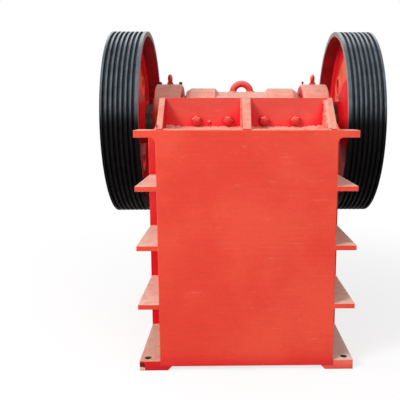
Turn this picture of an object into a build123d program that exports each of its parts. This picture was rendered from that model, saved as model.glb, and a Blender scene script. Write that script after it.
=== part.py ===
from build123d import *
import math
import os

os.makedirs("parts", exist_ok=True)

# Sizes in millimetres. Depths are measured back from the face of the front plate.
# Feed opening and crushing chamber
gape = 600.0
discharge = 100.0
chamber_half = 450.0
cheek_thick = 76.0
cheek_gap = 2.0
cheek_clear = 100.0
cheek_drop = 46.0
jaw_side_gap = 10.0
jaw_plate_thick = 90.0
tooth_count = 14
tooth_depth = 30.0
tooth_land_share = 0.36
fixed_plate_drop = 81.0
jaw_top_rise = 122.0
jaw_bottom = 490.0
wedge_length = 60.0
wedge_recess = 12.0

# Front wall
front_thick = 40.0
front_lip = 7.0
front_clear = 30.0
ledge_drop = 21.0
ledge_thick = 45.0
ear_fillet = 35.0
backing_depth = 215.0
backing_thick = 60.0
backing_drop = 50.0
wall_rise = 183.0
jaw_shelf_reach = 60.0
jaw_shelf_thick = 30.0
gusset_thick = 54.0
gusset_toe = 10.0
inner_rib_thick = 30.0

# Side walls, ribs and base
wall_thick = 37.0
rib_reach = 143.0
rib_thick = 32.0
middle_rib_top = 843.0
lower_rib_top = 453.0
upright_depth = 655.0
upright_thick = 40.0
base_lip = 30.0
base_thick = 65.0
base_chamfer = 25.0
base_setback = 4.0
anchor_inset = 51.0
anchor_end = 58.0
anchor_radius = 22.0

# Shaft
shaft_setback = 550.0
shaft_height = 1598.0
throw = 19.0
journal_radius = 110.0
middle_radius = 130.0
seat_radius = 100.0
spacer_radius = 160.0
running_gap = 0.3
fit_gap = 0.2

# Bearing housings
housing_lip = 18.0
housing_width = 228.0
housing_radius = 331.0
pedestal_depth = 41.0
pedestal_waist_margin = 19.0
pedestal_foot_margin = 59.0
pedestal_foot = 60.0
split_margin = 99.0
split_thick = 55.0
cap_outer_round = 14.0
cap_inner_round = 28.0
cover_radius = 235.0
cover_thick = 18.0

# Wheels
wheel_radius = 770.0
wheel_gap = 55.0
rim_width = 288.0
rim_thick = 37.0
groove_count = 7
groove_pitch = 37.0
groove_edge = 29.0
groove_top = 24.0
groove_bottom = 12.0
groove_depth = 20.0
web_offset = 135.0
web_thick = 45.0
web_hole_radius = 75.0
web_hole_circle_radius = 495.0
web_hole_count = 4
web_hole_angle = 41.0
hub_radius = 183.0
hub_start = 33.0
hub_cone_start = 78.0
cone_radius = 380.0
outer_cone_radius = 290.0
outer_cone_length = 55.0
hub_overhang = 8.0
end_plate_radius = 130.0
end_plate_thick = 25.0

# Swing jaw casting
barrel_radius = 285.0
barrel_half = 204.0
collar_height = 30.0
collar_inner = 230.0
collar_gap = 13.0
collar_bevel = 42.0
collar_end_drop = 27.0
jaw_wall = 100.0
jaw_rib = 60.0
heel_reach = 435.0
heel_drop = 35.0
heel_height = 195.0
roof_thick = 50.0
roof_angle = 118.0
nape_angle = 232.0
lift_ring_radius = 75.0
lift_ring_bar = 29.0
lift_ring_rise = 98.0

# Toggle, rear wall and tension rod
toggle_gap = 30.0
toggle_half = 350.0
toggle_thick = 70.0
toggle_rear_height = 720.0
rear_wall_inset = 200.0
rear_wall_thick = 60.0
rear_wall_drop = 76.0
rear_rib_thick = 40.0
block_depth = 100.0
block_height = 200.0
block_half = 400.0
shim_depth = 45.0
shim_count = 3
shim_step = 25.0
rod_radius = 25.0
rod_drop = 55.0
rod_hole_gap = 5.0
rod_tail = 65.0
spring_radius = 70.0
spring_clear = 10.0
spring_length = 200.0
washer_radius = 85.0
washer_thick = 15.0
washer_clear = 20.0
rod_nut_radius = 45.0
rod_nut_thick = 40.0

# Small fastenings
stud_places = (118.0, 324.0)
stud_rise = 54.0
stud_radius = 18.0
stud_length = 44.0
nut_radius = 31.0
nut_thick = 30.0
eye_bar = 14.0
eye_ring_radius = 28.0
eye_collar_radius = 26.0
eye_collar_thick = 16.0
eye_turn = 70.0

# Places worked out from the sizes above
chamber_front_depth = backing_depth + backing_thick + jaw_plate_thick
shaft_depth = chamber_front_depth + gape + shaft_setback
front_y = -(shaft_depth + wheel_radius) / 2
shaft_y = front_y + shaft_depth
jaw_axis_height = shaft_height - throw
wall_inner = chamber_half + cheek_thick
wall_outer = wall_inner + wall_thick
front_half = wall_outer + front_lip
rib_half = wall_outer + rib_reach
base_inner = wall_inner - base_lip
ledge_top = shaft_height - ledge_drop
ledge_bottom = ledge_top - ledge_thick
wall_top = shaft_height + wall_rise
backing_y = front_y + backing_depth
backing_bottom = jaw_bottom - backing_drop
housing_inner = wall_inner - housing_lip
housing_outer = housing_inner + housing_width
seat_height = shaft_height - housing_radius - pedestal_depth
pedestal_waist = housing_radius + pedestal_waist_margin
pedestal_half_length = housing_radius + pedestal_foot_margin
split_half_length = housing_radius + split_margin
shoulder_y = shaft_y - split_half_length
frame_back_y = shaft_y + split_half_length
rib_tops = {"upper": seat_height, "middle": middle_rib_top, "lower": lower_rib_top}
rim_inner = housing_outer + wheel_gap
rim_outer = rim_inner + rim_width
web_inner = rim_inner + web_offset
web_outer = web_inner + web_thick
hub_inner = rim_inner + hub_start
cone_start = rim_inner + hub_cone_start
hub_outer = rim_outer - hub_overhang
chamber_front = front_y + chamber_front_depth
jaw_half = chamber_half - jaw_side_gap
jaw_top = shaft_height + jaw_top_rise
jaw_run = gape - discharge
jaw_rise = jaw_top - jaw_bottom
jaw_length = math.hypot(jaw_run, jaw_rise)
jaw_slope = jaw_run / jaw_rise
jaw_up = Vector(0, jaw_run / jaw_length, jaw_rise / jaw_length)
jaw_back = Vector(0, jaw_up.Z, -jaw_up.Y)
jaw_foot = Vector(0, chamber_front + discharge, jaw_bottom)
heel_y = jaw_foot.Y + heel_reach
heel_low = jaw_bottom - heel_drop
heel_high = heel_low + heel_height
collar_radius = barrel_radius + collar_height
collar_end = housing_inner - cover_thick - collar_gap
collar_outer = collar_end - collar_bevel
collar_end_radius = collar_radius - collar_end_drop
rear_wall_y = frame_back_y - rear_wall_inset
rear_rib_y = rear_wall_y + rear_wall_thick
rod_height = heel_low - rod_drop
rear_wall_low = rod_height - washer_radius - washer_clear - rear_rib_thick
rear_wall_top = seat_height - rear_wall_drop
block_front_y = rear_wall_y - shim_depth - block_depth


def save(piece, name):
    piece.part.label = name
    export_step(piece.part, f"parts/{name}.step")


def save_pair(piece, name):
    """The piece is on the right, at +X, and its mirror image is on the left."""
    save(piece, f"{name}_right")
    with BuildPart() as twin:
        mirror(piece.part, about=Plane.YZ)
    save(twin, f"{name}_left")


def side_plane(x):
    """Upright plane across X: its own x is depth, its own y is height."""
    return Plane.YZ.offset(x)


def upright_plane(y):
    """Upright plane across Y: its own x is X, its own y is height, facing the front."""
    return Plane(origin=(0, y, 0), x_dir=(1, 0, 0), z_dir=(0, -1, 0))


def outline(*points):
    """A closed face through the points, in the sketch that is open."""
    with BuildLine() as border:
        Polyline(*points, close=True)
    make_face(border.edges())


def toothed(half_width, thick):
    """Cross-section of a jaw plate: teeth towards its own -y, flat back at y = thick."""
    pitch = 2 * half_width / tooth_count
    land = pitch * tooth_land_share
    points = [(-half_width, thick)]
    for index in range(tooth_count):
        left = -half_width + index * pitch
        points.append((left, tooth_depth))
        points.append((left + (pitch - land) / 2, 0))
        points.append((left + (pitch + land) / 2, 0))
    points.append((half_width, tooth_depth))
    points.append((half_width, thick))
    outline(*points)


# Front plate, with an ear each side at the height of the ledge
with BuildPart() as front_plate:
    with BuildSketch(upright_plane(front_y)):
        outline(
            (-front_half, front_clear),
            (front_half, front_clear),
            (front_half, ledge_bottom),
            (rib_half, ledge_bottom),
            (rib_half, ledge_top),
            (-rib_half, ledge_top),
            (-rib_half, ledge_bottom),
            (-front_half, ledge_bottom),
        )
    extrude(amount=-front_thick)
    ear_roots = edges().filter_by(Axis.Y).filter_by_position(
        Axis.Z, ledge_bottom - ear_fillet, ledge_bottom + ear_fillet
    )
    reach = front_half + ear_fillet
    fillet(ear_roots.filter_by_position(Axis.X, -reach, reach), ear_fillet)
save(front_plate, "front_plate")

# Ledge that joins the front plate to the backing wall
with BuildPart() as front_ledge:
    with BuildSketch(Plane.XY.offset(ledge_bottom)):
        with Locations((0, front_y + front_thick)):
            Rectangle(2 * wall_inner, backing_depth - front_thick, align=(Align.CENTER, Align.MIN))
    extrude(amount=ledge_thick)
save(front_ledge, "front_ledge")

# Horizontal ribs inside the front wall, at the heights of the side ribs
with BuildPart() as front_wall_ribs:
    for top in rib_tops.values():
        with BuildSketch(Plane.XY.offset(top - inner_rib_thick)):
            with Locations((0, front_y + front_thick)):
                Rectangle(2 * wall_inner, backing_depth - front_thick, align=(Align.CENTER, Align.MIN))
        extrude(amount=inner_rib_thick)
save(front_wall_ribs, "front_wall_ribs")

# Backing wall behind the fixed jaw plate, with the shelf that the plate stands on
with BuildPart() as backing_wall:
    with BuildSketch(side_plane(-wall_inner)):
        shelf_y = backing_y + backing_thick + jaw_shelf_reach
        outline(
            (backing_y, backing_bottom),
            (shelf_y, backing_bottom),
            (shelf_y, backing_bottom + jaw_shelf_thick),
            (backing_y + backing_thick, backing_bottom + jaw_shelf_thick),
            (backing_y + backing_thick, wall_top),
            (backing_y, wall_top),
        )
    extrude(amount=2 * wall_inner)
save(backing_wall, "backing_wall")

# Middle gusset between the ledge and the backing wall
with BuildPart() as centre_gusset:
    with BuildSketch(side_plane(-gusset_thick / 2)):
        outline(
            (front_y, ledge_top),
            (backing_y, ledge_top),
            (backing_y, wall_top),
            (front_y, ledge_top + gusset_toe),
        )
    extrude(amount=gusset_thick)
save(centre_gusset, "centre_gusset")

# Side walls, whose front tops slope as the outer gussets do
with BuildPart() as side_wall:
    with BuildSketch(side_plane(wall_inner)):
        outline(
            (front_y + front_thick, base_thick),
            (front_y + front_thick, ledge_top),
            (front_y, ledge_top),
            (front_y, ledge_top + gusset_toe),
            (backing_y, wall_top),
            (shoulder_y, wall_top),
            (shoulder_y, seat_height),
            (frame_back_y, seat_height),
            (frame_back_y, base_thick),
        )
    extrude(amount=wall_thick)
save_pair(side_wall, "side_wall")

# Short ribs behind the ears of the front plate, in line with the ledge
with BuildPart() as top_rib:
    with BuildSketch(Plane.XY.offset(ledge_bottom)):
        with Locations((wall_outer, front_y + front_thick)):
            Rectangle(rib_reach, backing_depth - front_thick, align=(Align.MIN, Align.MIN))
    extrude(amount=ledge_thick)
save_pair(top_rib, "top_rib")

# Long ribs along the side walls
for level, top in rib_tops.items():
    with BuildPart() as side_rib:
        with BuildSketch(Plane.XY.offset(top - rib_thick)):
            with Locations((wall_outer, front_y)):
                Rectangle(rib_reach, frame_back_y - front_y, align=(Align.MIN, Align.MIN))
                Rectangle(front_lip, front_thick, align=(Align.MIN, Align.MIN), mode=Mode.SUBTRACT)
        extrude(amount=rib_thick)
    save_pair(side_rib, f"{level}_rib")

# Uprights between the ribs, near the front and under the bearings; the front ones end at the ledge's height
bay_floors = [base_thick, rib_tops["lower"], rib_tops["middle"], rib_tops["upper"]]
bay_roofs = [top - rib_thick for top in (rib_tops["lower"], rib_tops["middle"], rib_tops["upper"])]
bay_roofs.append(ledge_bottom)

with BuildPart() as front_uprights:
    for floor, roof in zip(bay_floors, bay_roofs):
        with BuildSketch(Plane.XY.offset(floor)):
            with Locations((wall_outer, front_y + upright_depth)):
                Rectangle(rib_reach, upright_thick, align=(Align.MIN, Align.MIN))
        extrude(amount=roof - floor)
save_pair(front_uprights, "front_uprights")

with BuildPart() as bearing_uprights:
    for floor, roof in zip(bay_floors[:-1], bay_roofs[:-1]):
        with BuildSketch(Plane.XY.offset(floor)):
            with Locations((wall_outer, shaft_y - upright_thick / 2)):
                Rectangle(rib_reach, upright_thick, align=(Align.MIN, Align.MIN))
        extrude(amount=roof - floor)
save_pair(bearing_uprights, "bearing_uprights")

# Base flanges with their anchor holes, and a bevel along the inner lower edge
anchor_x = rib_half - anchor_inset
base_length = frame_back_y - front_y - base_setback
anchor_front_y = front_y + anchor_end
anchor_back_y = frame_back_y - anchor_end
anchor_middle_y = (anchor_front_y + anchor_back_y) / 2
with BuildPart() as base_flange:
    with BuildSketch(upright_plane(front_y + base_setback)):
        outline(
            (base_inner + base_chamfer, 0),
            (rib_half, 0),
            (rib_half, base_thick),
            (base_inner, base_thick),
            (base_inner, base_chamfer),
        )
    extrude(amount=-base_length)
    with BuildSketch(upright_plane(front_y)):
        outline(
            (0, front_clear),
            (front_half, front_clear),
            (front_half, base_thick),
            (0, base_thick),
        )
    extrude(amount=-front_thick, mode=Mode.SUBTRACT)
    with Locations(
        (anchor_x, anchor_front_y, base_thick),
        (anchor_x, anchor_middle_y, base_thick),
        (anchor_x, anchor_back_y, base_thick),
    ):
        Hole(radius=anchor_radius)
save_pair(base_flange, "base_flange")

# Lower halves of the bearing housings
housing_plane = Plane(origin=(housing_inner, shaft_y, shaft_height), x_dir=(0, 1, 0), z_dir=(1, 0, 0))
foot_drop = shaft_height - seat_height
with BuildPart() as bearing_housing:
    with BuildSketch(housing_plane):
        Circle(housing_radius)
        with Locations((0, housing_radius / 2)):
            Rectangle(2 * housing_radius, housing_radius, mode=Mode.SUBTRACT)
    extrude(amount=housing_width)
    with BuildSketch(housing_plane):
        outline(
            (-split_half_length, 0),
            (-split_half_length, -split_thick),
            (-pedestal_waist, -split_thick),
            (-pedestal_waist, -foot_drop + pedestal_foot),
            (-pedestal_half_length, -foot_drop + pedestal_foot),
            (-pedestal_half_length, -foot_drop),
            (pedestal_half_length, -foot_drop),
            (pedestal_half_length, -foot_drop + pedestal_foot),
            (pedestal_waist, -foot_drop + pedestal_foot),
            (pedestal_waist, -split_thick),
            (split_half_length, -split_thick),
            (split_half_length, 0),
        )
    extrude(amount=rib_half - housing_inner)
    with Locations(housing_plane):
        Cylinder(
            journal_radius + running_gap,
            housing_width,
            align=(Align.CENTER, Align.CENTER, Align.MIN),
            mode=Mode.SUBTRACT,
        )
save_pair(bearing_housing, "bearing_housing")

# Bearing caps
with BuildPart() as bearing_cap:
    with BuildSketch(housing_plane):
        Circle(housing_radius)
        with Locations((0, -housing_radius / 2)):
            Rectangle(2 * housing_radius, housing_radius, mode=Mode.SUBTRACT)
    extrude(amount=housing_width)
    with BuildSketch(housing_plane):
        with Locations((0, split_thick / 2)):
            Rectangle(2 * split_half_length, split_thick)
    extrude(amount=rib_half - housing_inner)
    with Locations(housing_plane):
        Cylinder(
            journal_radius + running_gap,
            housing_width,
            align=(Align.CENTER, Align.CENTER, Align.MIN),
            mode=Mode.SUBTRACT,
        )
    for end, rounding in ((-1, cap_outer_round), (0, cap_inner_round)):
        crown_edges = edges().filter_by(GeomType.CIRCLE).group_by(SortBy.RADIUS)[-1]
        fillet(crown_edges.sort_by(Axis.X)[end], rounding)
save_pair(bearing_cap, "bearing_cap")

# Ring covers on the outer and inner faces of each housing
with BuildPart() as bearing_covers:
    for start in (housing_outer, housing_inner - cover_thick):
        with BuildSketch(Plane(origin=(start, shaft_y, shaft_height), x_dir=(0, 1, 0), z_dir=(1, 0, 0))):
            Circle(cover_radius)
            Circle(journal_radius + running_gap, mode=Mode.SUBTRACT)
        extrude(amount=cover_thick)
save_pair(bearing_covers, "bearing_covers")

# Eye bolts on the crowns of the caps
eye_x = housing_inner + housing_width / 2
eye_height = shaft_height + housing_radius + eye_collar_thick + eye_ring_radius
with BuildPart() as cap_eye_bolt:
    with BuildSketch(Plane.XY.offset(shaft_height + housing_radius)):
        with Locations((eye_x, shaft_y)):
            Circle(eye_collar_radius)
    extrude(amount=eye_collar_thick)
    with Locations(Location((eye_x, shaft_y, eye_height), (90, eye_turn, 0))):
        Torus(eye_ring_radius, eye_bar)
save_pair(cap_eye_bolt, "cap_eye_bolt")

# Eccentric shaft
cover_face = housing_outer + cover_thick
shaft_steps = [
    (collar_end, cover_face, journal_radius),
    (cover_face, hub_outer, seat_radius),
    (cover_face + running_gap, hub_inner - fit_gap, spacer_radius),
]
with BuildPart() as eccentric_shaft:
    with Locations(Location((0, shaft_y, jaw_axis_height), (0, 90, 0))):
        Cylinder(middle_radius, 2 * collar_end)
    for start, end, radius in shaft_steps:
        for side in (-1, 1):
            with Locations(Location((side * (start + end) / 2, shaft_y, shaft_height), (0, 90, 0))):
                Cylinder(radius, end - start)
save(eccentric_shaft, "eccentric_shaft")

# Grooved rims of the wheels
rim_bore = wheel_radius - rim_thick
shaft_axis = Axis((0, shaft_y, shaft_height), (1, 0, 0))
wheel_section = Plane(origin=(0, shaft_y, shaft_height), x_dir=(1, 0, 0), z_dir=(0, -1, 0))
rim_line = [(rim_inner, rim_bore), (rim_inner, wheel_radius)]
first_groove = rim_outer - groove_edge - (groove_count - 1) * groove_pitch
for index in range(groove_count):
    centre = first_groove + index * groove_pitch
    rim_line.append((centre - groove_top / 2, wheel_radius))
    rim_line.append((centre - groove_bottom / 2, wheel_radius - groove_depth))
    rim_line.append((centre + groove_bottom / 2, wheel_radius - groove_depth))
    rim_line.append((centre + groove_top / 2, wheel_radius))
rim_line += [(rim_outer, wheel_radius), (rim_outer, rim_bore)]
with BuildPart() as wheel_rim:
    with BuildSketch(wheel_section):
        outline(*rim_line)
    revolve(axis=shaft_axis)
save_pair(wheel_rim, "wheel_rim")

# Flat webs with round holes, and hubs that flare into them on both faces
web_face = Plane(origin=(web_inner, shaft_y, shaft_height), x_dir=(0, 1, 0), z_dir=(1, 0, 0))
web_radius = rim_bore - fit_gap
with BuildPart() as wheel_web:
    with BuildSketch(wheel_section):
        outline(
            (hub_inner, seat_radius + fit_gap),
            (hub_inner, hub_radius),
            (cone_start, hub_radius),
            (web_inner, cone_radius),
            (web_inner, web_radius),
            (web_outer, web_radius),
            (web_outer, outer_cone_radius),
            (web_outer + outer_cone_length, hub_radius),
            (hub_outer, hub_radius),
            (hub_outer, seat_radius + fit_gap),
        )
    revolve(axis=shaft_axis)
    with BuildSketch(web_face):
        with PolarLocations(web_hole_circle_radius, web_hole_count, start_angle=web_hole_angle):
            Circle(web_hole_radius)
    extrude(amount=web_thick, mode=Mode.SUBTRACT)
save_pair(wheel_web, "wheel_web")

# Plates that hold the wheels on the shaft's ends
with BuildPart() as wheel_end_plates:
    for start in (hub_outer, -hub_outer - end_plate_thick):
        with BuildSketch(Plane(origin=(start, shaft_y, shaft_height), x_dir=(0, 1, 0), z_dir=(1, 0, 0))):
            Circle(end_plate_radius)
        extrude(amount=end_plate_thick)
save(wheel_end_plates, "wheel_end_plates")

# Jaw plate fixed to the backing wall, toothed from top to bottom
shelf_top = backing_bottom + jaw_shelf_thick
with BuildPart() as fixed_jaw_plate:
    with BuildSketch(Plane(origin=(0, chamber_front, shelf_top), x_dir=(-1, 0, 0), z_dir=(0, 0, 1))):
        toothed(jaw_half, jaw_plate_thick)
    extrude(amount=wall_top - fixed_plate_drop - shelf_top)
save(fixed_jaw_plate, "fixed_jaw_plate")

# Jaw plate on the swing jaw, parallel to its leaning face
with BuildPart() as moving_jaw_plate:
    with BuildSketch(Plane(origin=jaw_foot, x_dir=(1, 0, 0), z_dir=jaw_up)):
        toothed(jaw_half, jaw_plate_thick)
    extrude(amount=jaw_length)
save(moving_jaw_plate, "moving_jaw_plate")

# Wedge that clamps the top of the moving jaw plate
with BuildPart() as jaw_wedge:
    with BuildSketch(Plane(origin=jaw_foot + jaw_up * jaw_length, x_dir=(1, 0, 0), z_dir=jaw_up)):
        with Locations((0, (wedge_recess + jaw_plate_thick) / 2)):
            Rectangle(2 * jaw_half, jaw_plate_thick - wedge_recess)
    extrude(amount=wedge_length)
save(jaw_wedge, "jaw_wedge")

# Cheek plates that line the side walls beside the chamber
cheek_y = backing_y + backing_thick + cheek_gap
cheek_top = wall_top - cheek_drop
cheek_foot_y = jaw_foot.Y + (shelf_top - jaw_bottom) * jaw_slope + cheek_clear
cheek_head_y = jaw_foot.Y + (cheek_top - jaw_bottom) * jaw_slope + cheek_clear
with BuildPart() as cheek_plate:
    with BuildSketch(side_plane(chamber_half)):
        outline(
            (cheek_y, shelf_top),
            (cheek_foot_y, shelf_top),
            (cheek_head_y, cheek_top),
            (cheek_y, cheek_top),
        )
    extrude(amount=wall_inner - chamber_half)
save_pair(cheek_plate, "cheek_plate")

# Swing jaw: a barrel round the shaft's middle, a leaning front wall, three ribs and a heel
jaw_axis_point = (0, shaft_y, jaw_axis_height)
wall_front_low = jaw_foot + jaw_back * jaw_plate_thick
wall_front_high = wall_front_low + jaw_up * (jaw_length + wedge_length)
wall_back_low = wall_front_low + jaw_back * jaw_wall
wall_back_high = wall_front_high + jaw_back * jaw_wall
roof_y = shaft_y + barrel_radius * math.cos(math.radians(roof_angle))
roof_height = jaw_axis_height + barrel_radius * math.sin(math.radians(roof_angle))
nape_y = shaft_y + barrel_radius * math.cos(math.radians(nape_angle))
nape_height = jaw_axis_height + barrel_radius * math.sin(math.radians(nape_angle))
with BuildPart() as swing_jaw:
    with BuildSketch(Plane(origin=jaw_axis_point, x_dir=(1, 0, 0), z_dir=(0, -1, 0))):
        outline(
            (-collar_end, middle_radius + running_gap),
            (-collar_end, collar_end_radius),
            (-collar_outer, collar_radius),
            (-collar_inner, collar_radius),
            (-barrel_half, barrel_radius),
            (barrel_half, barrel_radius),
            (collar_inner, collar_radius),
            (collar_outer, collar_radius),
            (collar_end, collar_end_radius),
            (collar_end, middle_radius + running_gap),
        )
    revolve(axis=Axis(jaw_axis_point, (1, 0, 0)))
    with BuildSketch(side_plane(-jaw_half)):
        outline(
            (wall_front_low.Y, wall_front_low.Z),
            (wall_front_high.Y, wall_front_high.Z),
            (wall_back_high.Y, wall_back_high.Z),
            (wall_back_low.Y, wall_back_low.Z),
        )
    extrude(amount=2 * jaw_half)
    with BuildSketch(side_plane(-jaw_half)):
        outline(
            (wall_front_low.Y, wall_front_low.Z),
            (wall_back_low.Y, wall_back_low.Z),
            (heel_y, heel_low),
            (heel_y, heel_high),
            (wall_front_low.Y + (heel_high - wall_front_low.Z) * jaw_slope, heel_high),
        )
    extrude(amount=2 * jaw_half)
    with BuildSketch(side_plane(-jaw_half)):
        outline(
            (wall_front_high.Y, wall_front_high.Z),
            (roof_y, roof_height),
            (roof_y, roof_height - roof_thick),
            (wall_back_high.Y, wall_front_high.Z - roof_thick),
        )
    extrude(amount=2 * jaw_half)
    for rib_middle in (-jaw_half + jaw_rib / 2, 0, jaw_half - jaw_rib / 2):
        with BuildSketch(side_plane(rib_middle - jaw_rib / 2)):
            outline(
                (wall_front_low.Y, wall_front_low.Z),
                (wall_back_low.Y, wall_back_low.Z),
                (heel_y, heel_low),
                (heel_y, heel_high),
                (nape_y, nape_height),
                (roof_y, roof_height),
                (wall_front_high.Y, wall_front_high.Z),
            )
        extrude(amount=jaw_rib)
    with Locations(Location(jaw_axis_point, (0, 90, 0))):
        Cylinder(middle_radius + running_gap, 2 * collar_end, mode=Mode.SUBTRACT)
save(swing_jaw, "swing_jaw")

# Lifting ring on the crown of the barrel
lift_ring_height = jaw_axis_height + barrel_radius + lift_ring_rise - lift_ring_radius - lift_ring_bar
with BuildPart() as lifting_ring:
    with Locations(Location((0, shaft_y, lift_ring_height), (90, 0, 0))):
        Torus(lift_ring_radius, lift_ring_bar)
    with Locations(Location(jaw_axis_point, (0, 90, 0))):
        Cylinder(barrel_radius + fit_gap, 2 * barrel_half, mode=Mode.SUBTRACT)
save(lifting_ring, "lifting_ring")

# Nuts and stud ends of the fixed jaw plate, on the front of the backing wall
with BuildPart() as jaw_plate_nuts:
    for place in stud_places:
        for side in (-1, 1):
            with BuildSketch(upright_plane(backing_y)):
                with Locations((side * place, ledge_top + stud_rise)):
                    RegularPolygon(nut_radius, 6)
            extrude(amount=nut_thick)
            with BuildSketch(upright_plane(backing_y - nut_thick)):
                with Locations((side * place, ledge_top + stud_rise)):
                    Circle(stud_radius)
            extrude(amount=stud_length - nut_thick)
save(jaw_plate_nuts, "jaw_plate_nuts")

# Rear wall, with a hole for the tension rod
with BuildPart() as rear_wall:
    with BuildSketch(upright_plane(rear_wall_y)):
        with Locations((0, (rear_wall_low + rear_wall_top) / 2)):
            Rectangle(2 * wall_inner, rear_wall_top - rear_wall_low)
        with Locations((0, rod_height)):
            Circle(rod_radius + rod_hole_gap, mode=Mode.SUBTRACT)
    extrude(amount=-rear_wall_thick)
save(rear_wall, "rear_wall")

# Ribs behind the rear wall
rear_rib_floors = (rear_wall_low, toggle_rear_height - rear_rib_thick / 2, rear_wall_top - rear_rib_thick)
with BuildPart() as rear_wall_ribs:
    for floor in rear_rib_floors:
        with BuildSketch(Plane.XY.offset(floor)):
            with Locations((0, rear_rib_y)):
                Rectangle(2 * wall_inner, frame_back_y - rear_rib_y, align=(Align.CENTER, Align.MIN))
        extrude(amount=rear_rib_thick)
save(rear_wall_ribs, "rear_wall_ribs")

# Toggle block that bears on the rear wall through its shims
with BuildPart() as toggle_block:
    with BuildSketch(side_plane(-block_half)):
        with Locations((block_front_y + block_depth / 2, toggle_rear_height)):
            Rectangle(block_depth, block_height)
    extrude(amount=2 * block_half)
save(toggle_block, "toggle_block")

shim_thick = shim_depth / shim_count
with BuildPart() as toggle_shims:
    for index in range(shim_count):
        shim_y = block_front_y + block_depth + index * shim_thick
        with BuildSketch(upright_plane(shim_y)):
            with Locations((0, toggle_rear_height)):
                Rectangle(2 * toggle_half, block_height - index * shim_step)
        extrude(amount=-shim_thick)
save(toggle_shims, "toggle_shims")

# Toggle plate, with rounded ends
toggle_front_y = heel_y + toggle_gap + toggle_thick / 2
toggle_front_height = (heel_low + heel_high) / 2
toggle_rear_y = block_front_y - running_gap - toggle_thick / 2
toggle_run = toggle_rear_y - toggle_front_y
toggle_rise = toggle_rear_height - toggle_front_height
with BuildPart() as toggle_plate:
    with BuildSketch(side_plane(-toggle_half)):
        with Locations((toggle_front_y + toggle_run / 2, toggle_front_height + toggle_rise / 2)):
            SlotCenterToCenter(
                math.hypot(toggle_run, toggle_rise),
                toggle_thick,
                rotation=math.degrees(math.atan2(toggle_rise, toggle_run)),
            )
    extrude(amount=2 * toggle_half)
save(toggle_plate, "toggle_plate")

# Tension rod through the rear wall, with its washers and end nut
spring_front_y = rear_rib_y + washer_thick
spring_back_y = spring_front_y + spring_length
rod_front_y = heel_y + toggle_gap
rod_nut_y = spring_back_y + washer_thick
rod_pieces = [
    (rod_front_y, rod_nut_y + rod_nut_thick + rod_tail, rod_radius),
    (rear_rib_y, spring_front_y, washer_radius),
    (spring_back_y, rod_nut_y, washer_radius),
    (rod_nut_y, rod_nut_y + rod_nut_thick, rod_nut_radius),
    (rod_front_y, rod_front_y + rod_nut_thick, rod_nut_radius),
]
with BuildPart() as tension_rod:
    for start, end, radius in rod_pieces:
        with BuildSketch(upright_plane(start)):
            with Locations((0, rod_height)):
                Circle(radius)
        extrude(amount=-(end - start))
save(tension_rod, "tension_rod")

# Spring round the tension rod, as a plain sleeve of its outer shape
with BuildPart() as tension_spring:
    with BuildSketch(upright_plane(spring_front_y)):
        with Locations((0, rod_height)):
            Circle(spring_radius)
            Circle(rod_radius + spring_clear, mode=Mode.SUBTRACT)
    extrude(amount=-spring_length)
save(tension_spring, "tension_spring")
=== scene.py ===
import bmesh
import bpy
import math
from mathutils import Matrix, Vector


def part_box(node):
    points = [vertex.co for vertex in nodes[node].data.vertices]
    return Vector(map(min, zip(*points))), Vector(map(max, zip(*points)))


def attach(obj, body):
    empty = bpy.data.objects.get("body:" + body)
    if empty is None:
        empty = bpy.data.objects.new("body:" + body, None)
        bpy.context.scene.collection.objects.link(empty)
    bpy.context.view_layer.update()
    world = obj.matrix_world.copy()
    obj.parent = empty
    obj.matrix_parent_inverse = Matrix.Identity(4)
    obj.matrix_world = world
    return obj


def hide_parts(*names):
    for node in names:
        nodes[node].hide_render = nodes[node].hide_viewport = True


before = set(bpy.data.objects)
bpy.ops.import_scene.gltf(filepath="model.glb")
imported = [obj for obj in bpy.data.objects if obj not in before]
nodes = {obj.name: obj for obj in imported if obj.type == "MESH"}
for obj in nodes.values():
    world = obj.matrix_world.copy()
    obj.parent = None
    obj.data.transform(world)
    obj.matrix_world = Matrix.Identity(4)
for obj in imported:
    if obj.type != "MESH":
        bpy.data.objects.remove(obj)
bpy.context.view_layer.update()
bpy.ops.object.select_all(action="DESELECT")
print("frame loaded with", len(nodes), "nodes")

# Places read from the frame, in metres
plateLow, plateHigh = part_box("front_plate")
panelLow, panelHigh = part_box("backing_wall")
wallLow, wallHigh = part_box("side_wall_right")
flangeLow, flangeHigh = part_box("base_flange_right")
rimLow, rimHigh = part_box("wheel_rim_right")
capLow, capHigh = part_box("bearing_cap_right")
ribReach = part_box("upper_rib_right")[1].x
shaftY = (rimLow.y + rimHigh.y) / 2
shaftZ = (rimLow.z + rimHigh.z) / 2
ledgeTop = plateHigh.z


# Camera, light and floor

cameraLook = {
    "place": (-0.1171, -4.6604, 1.6881),
    "pan": 1.187,    # degrees to the right of straight ahead
    "tilt": 8.851,   # degrees down
    "roll": 0.012,
    "lens": 50.729,
    "sensor": 36.0,
    "shift": -0.1,
    "reach": 200.0,
}

lightLook = {
    "lamps": {
        "key": {"place": (-10.4, -9.7, 8.6), "aim": (0.0, -0.3, 1.2), "size": 6.0, "power": 2120},
        "fill": {"place": (4.0, -13.0, 4.0), "aim": (0.0, 0.0, 1.1), "size": 8.0, "power": 470},
    },
    "skyTop": 0.68,
    "skyRim": 0.3,
    "floorSize": 60.0,
    "floorDrop": 0.001,    # keeps the floor from touching the feet
    "floorBounce": 0.12,
    "shadowShare": 0.25,   # how much of the floor's own shade shows
    "whiteFrom": 1.6,      # metres from the middle where the floor starts to turn plain white
    "whiteAt": 4.5,
}


def tint(red, green, blue):
    values = [value / 255 for value in (red, green, blue)]
    return tuple(v / 12.92 if v <= 0.04045 else ((v + 0.055) / 1.055) ** 2.4 for v in values) + (1.0,)


def setSocket(tree, socket, value):
    if isinstance(value, bpy.types.NodeSocket):
        tree.links.new(value, socket)
    else:
        socket.default_value = value


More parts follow.
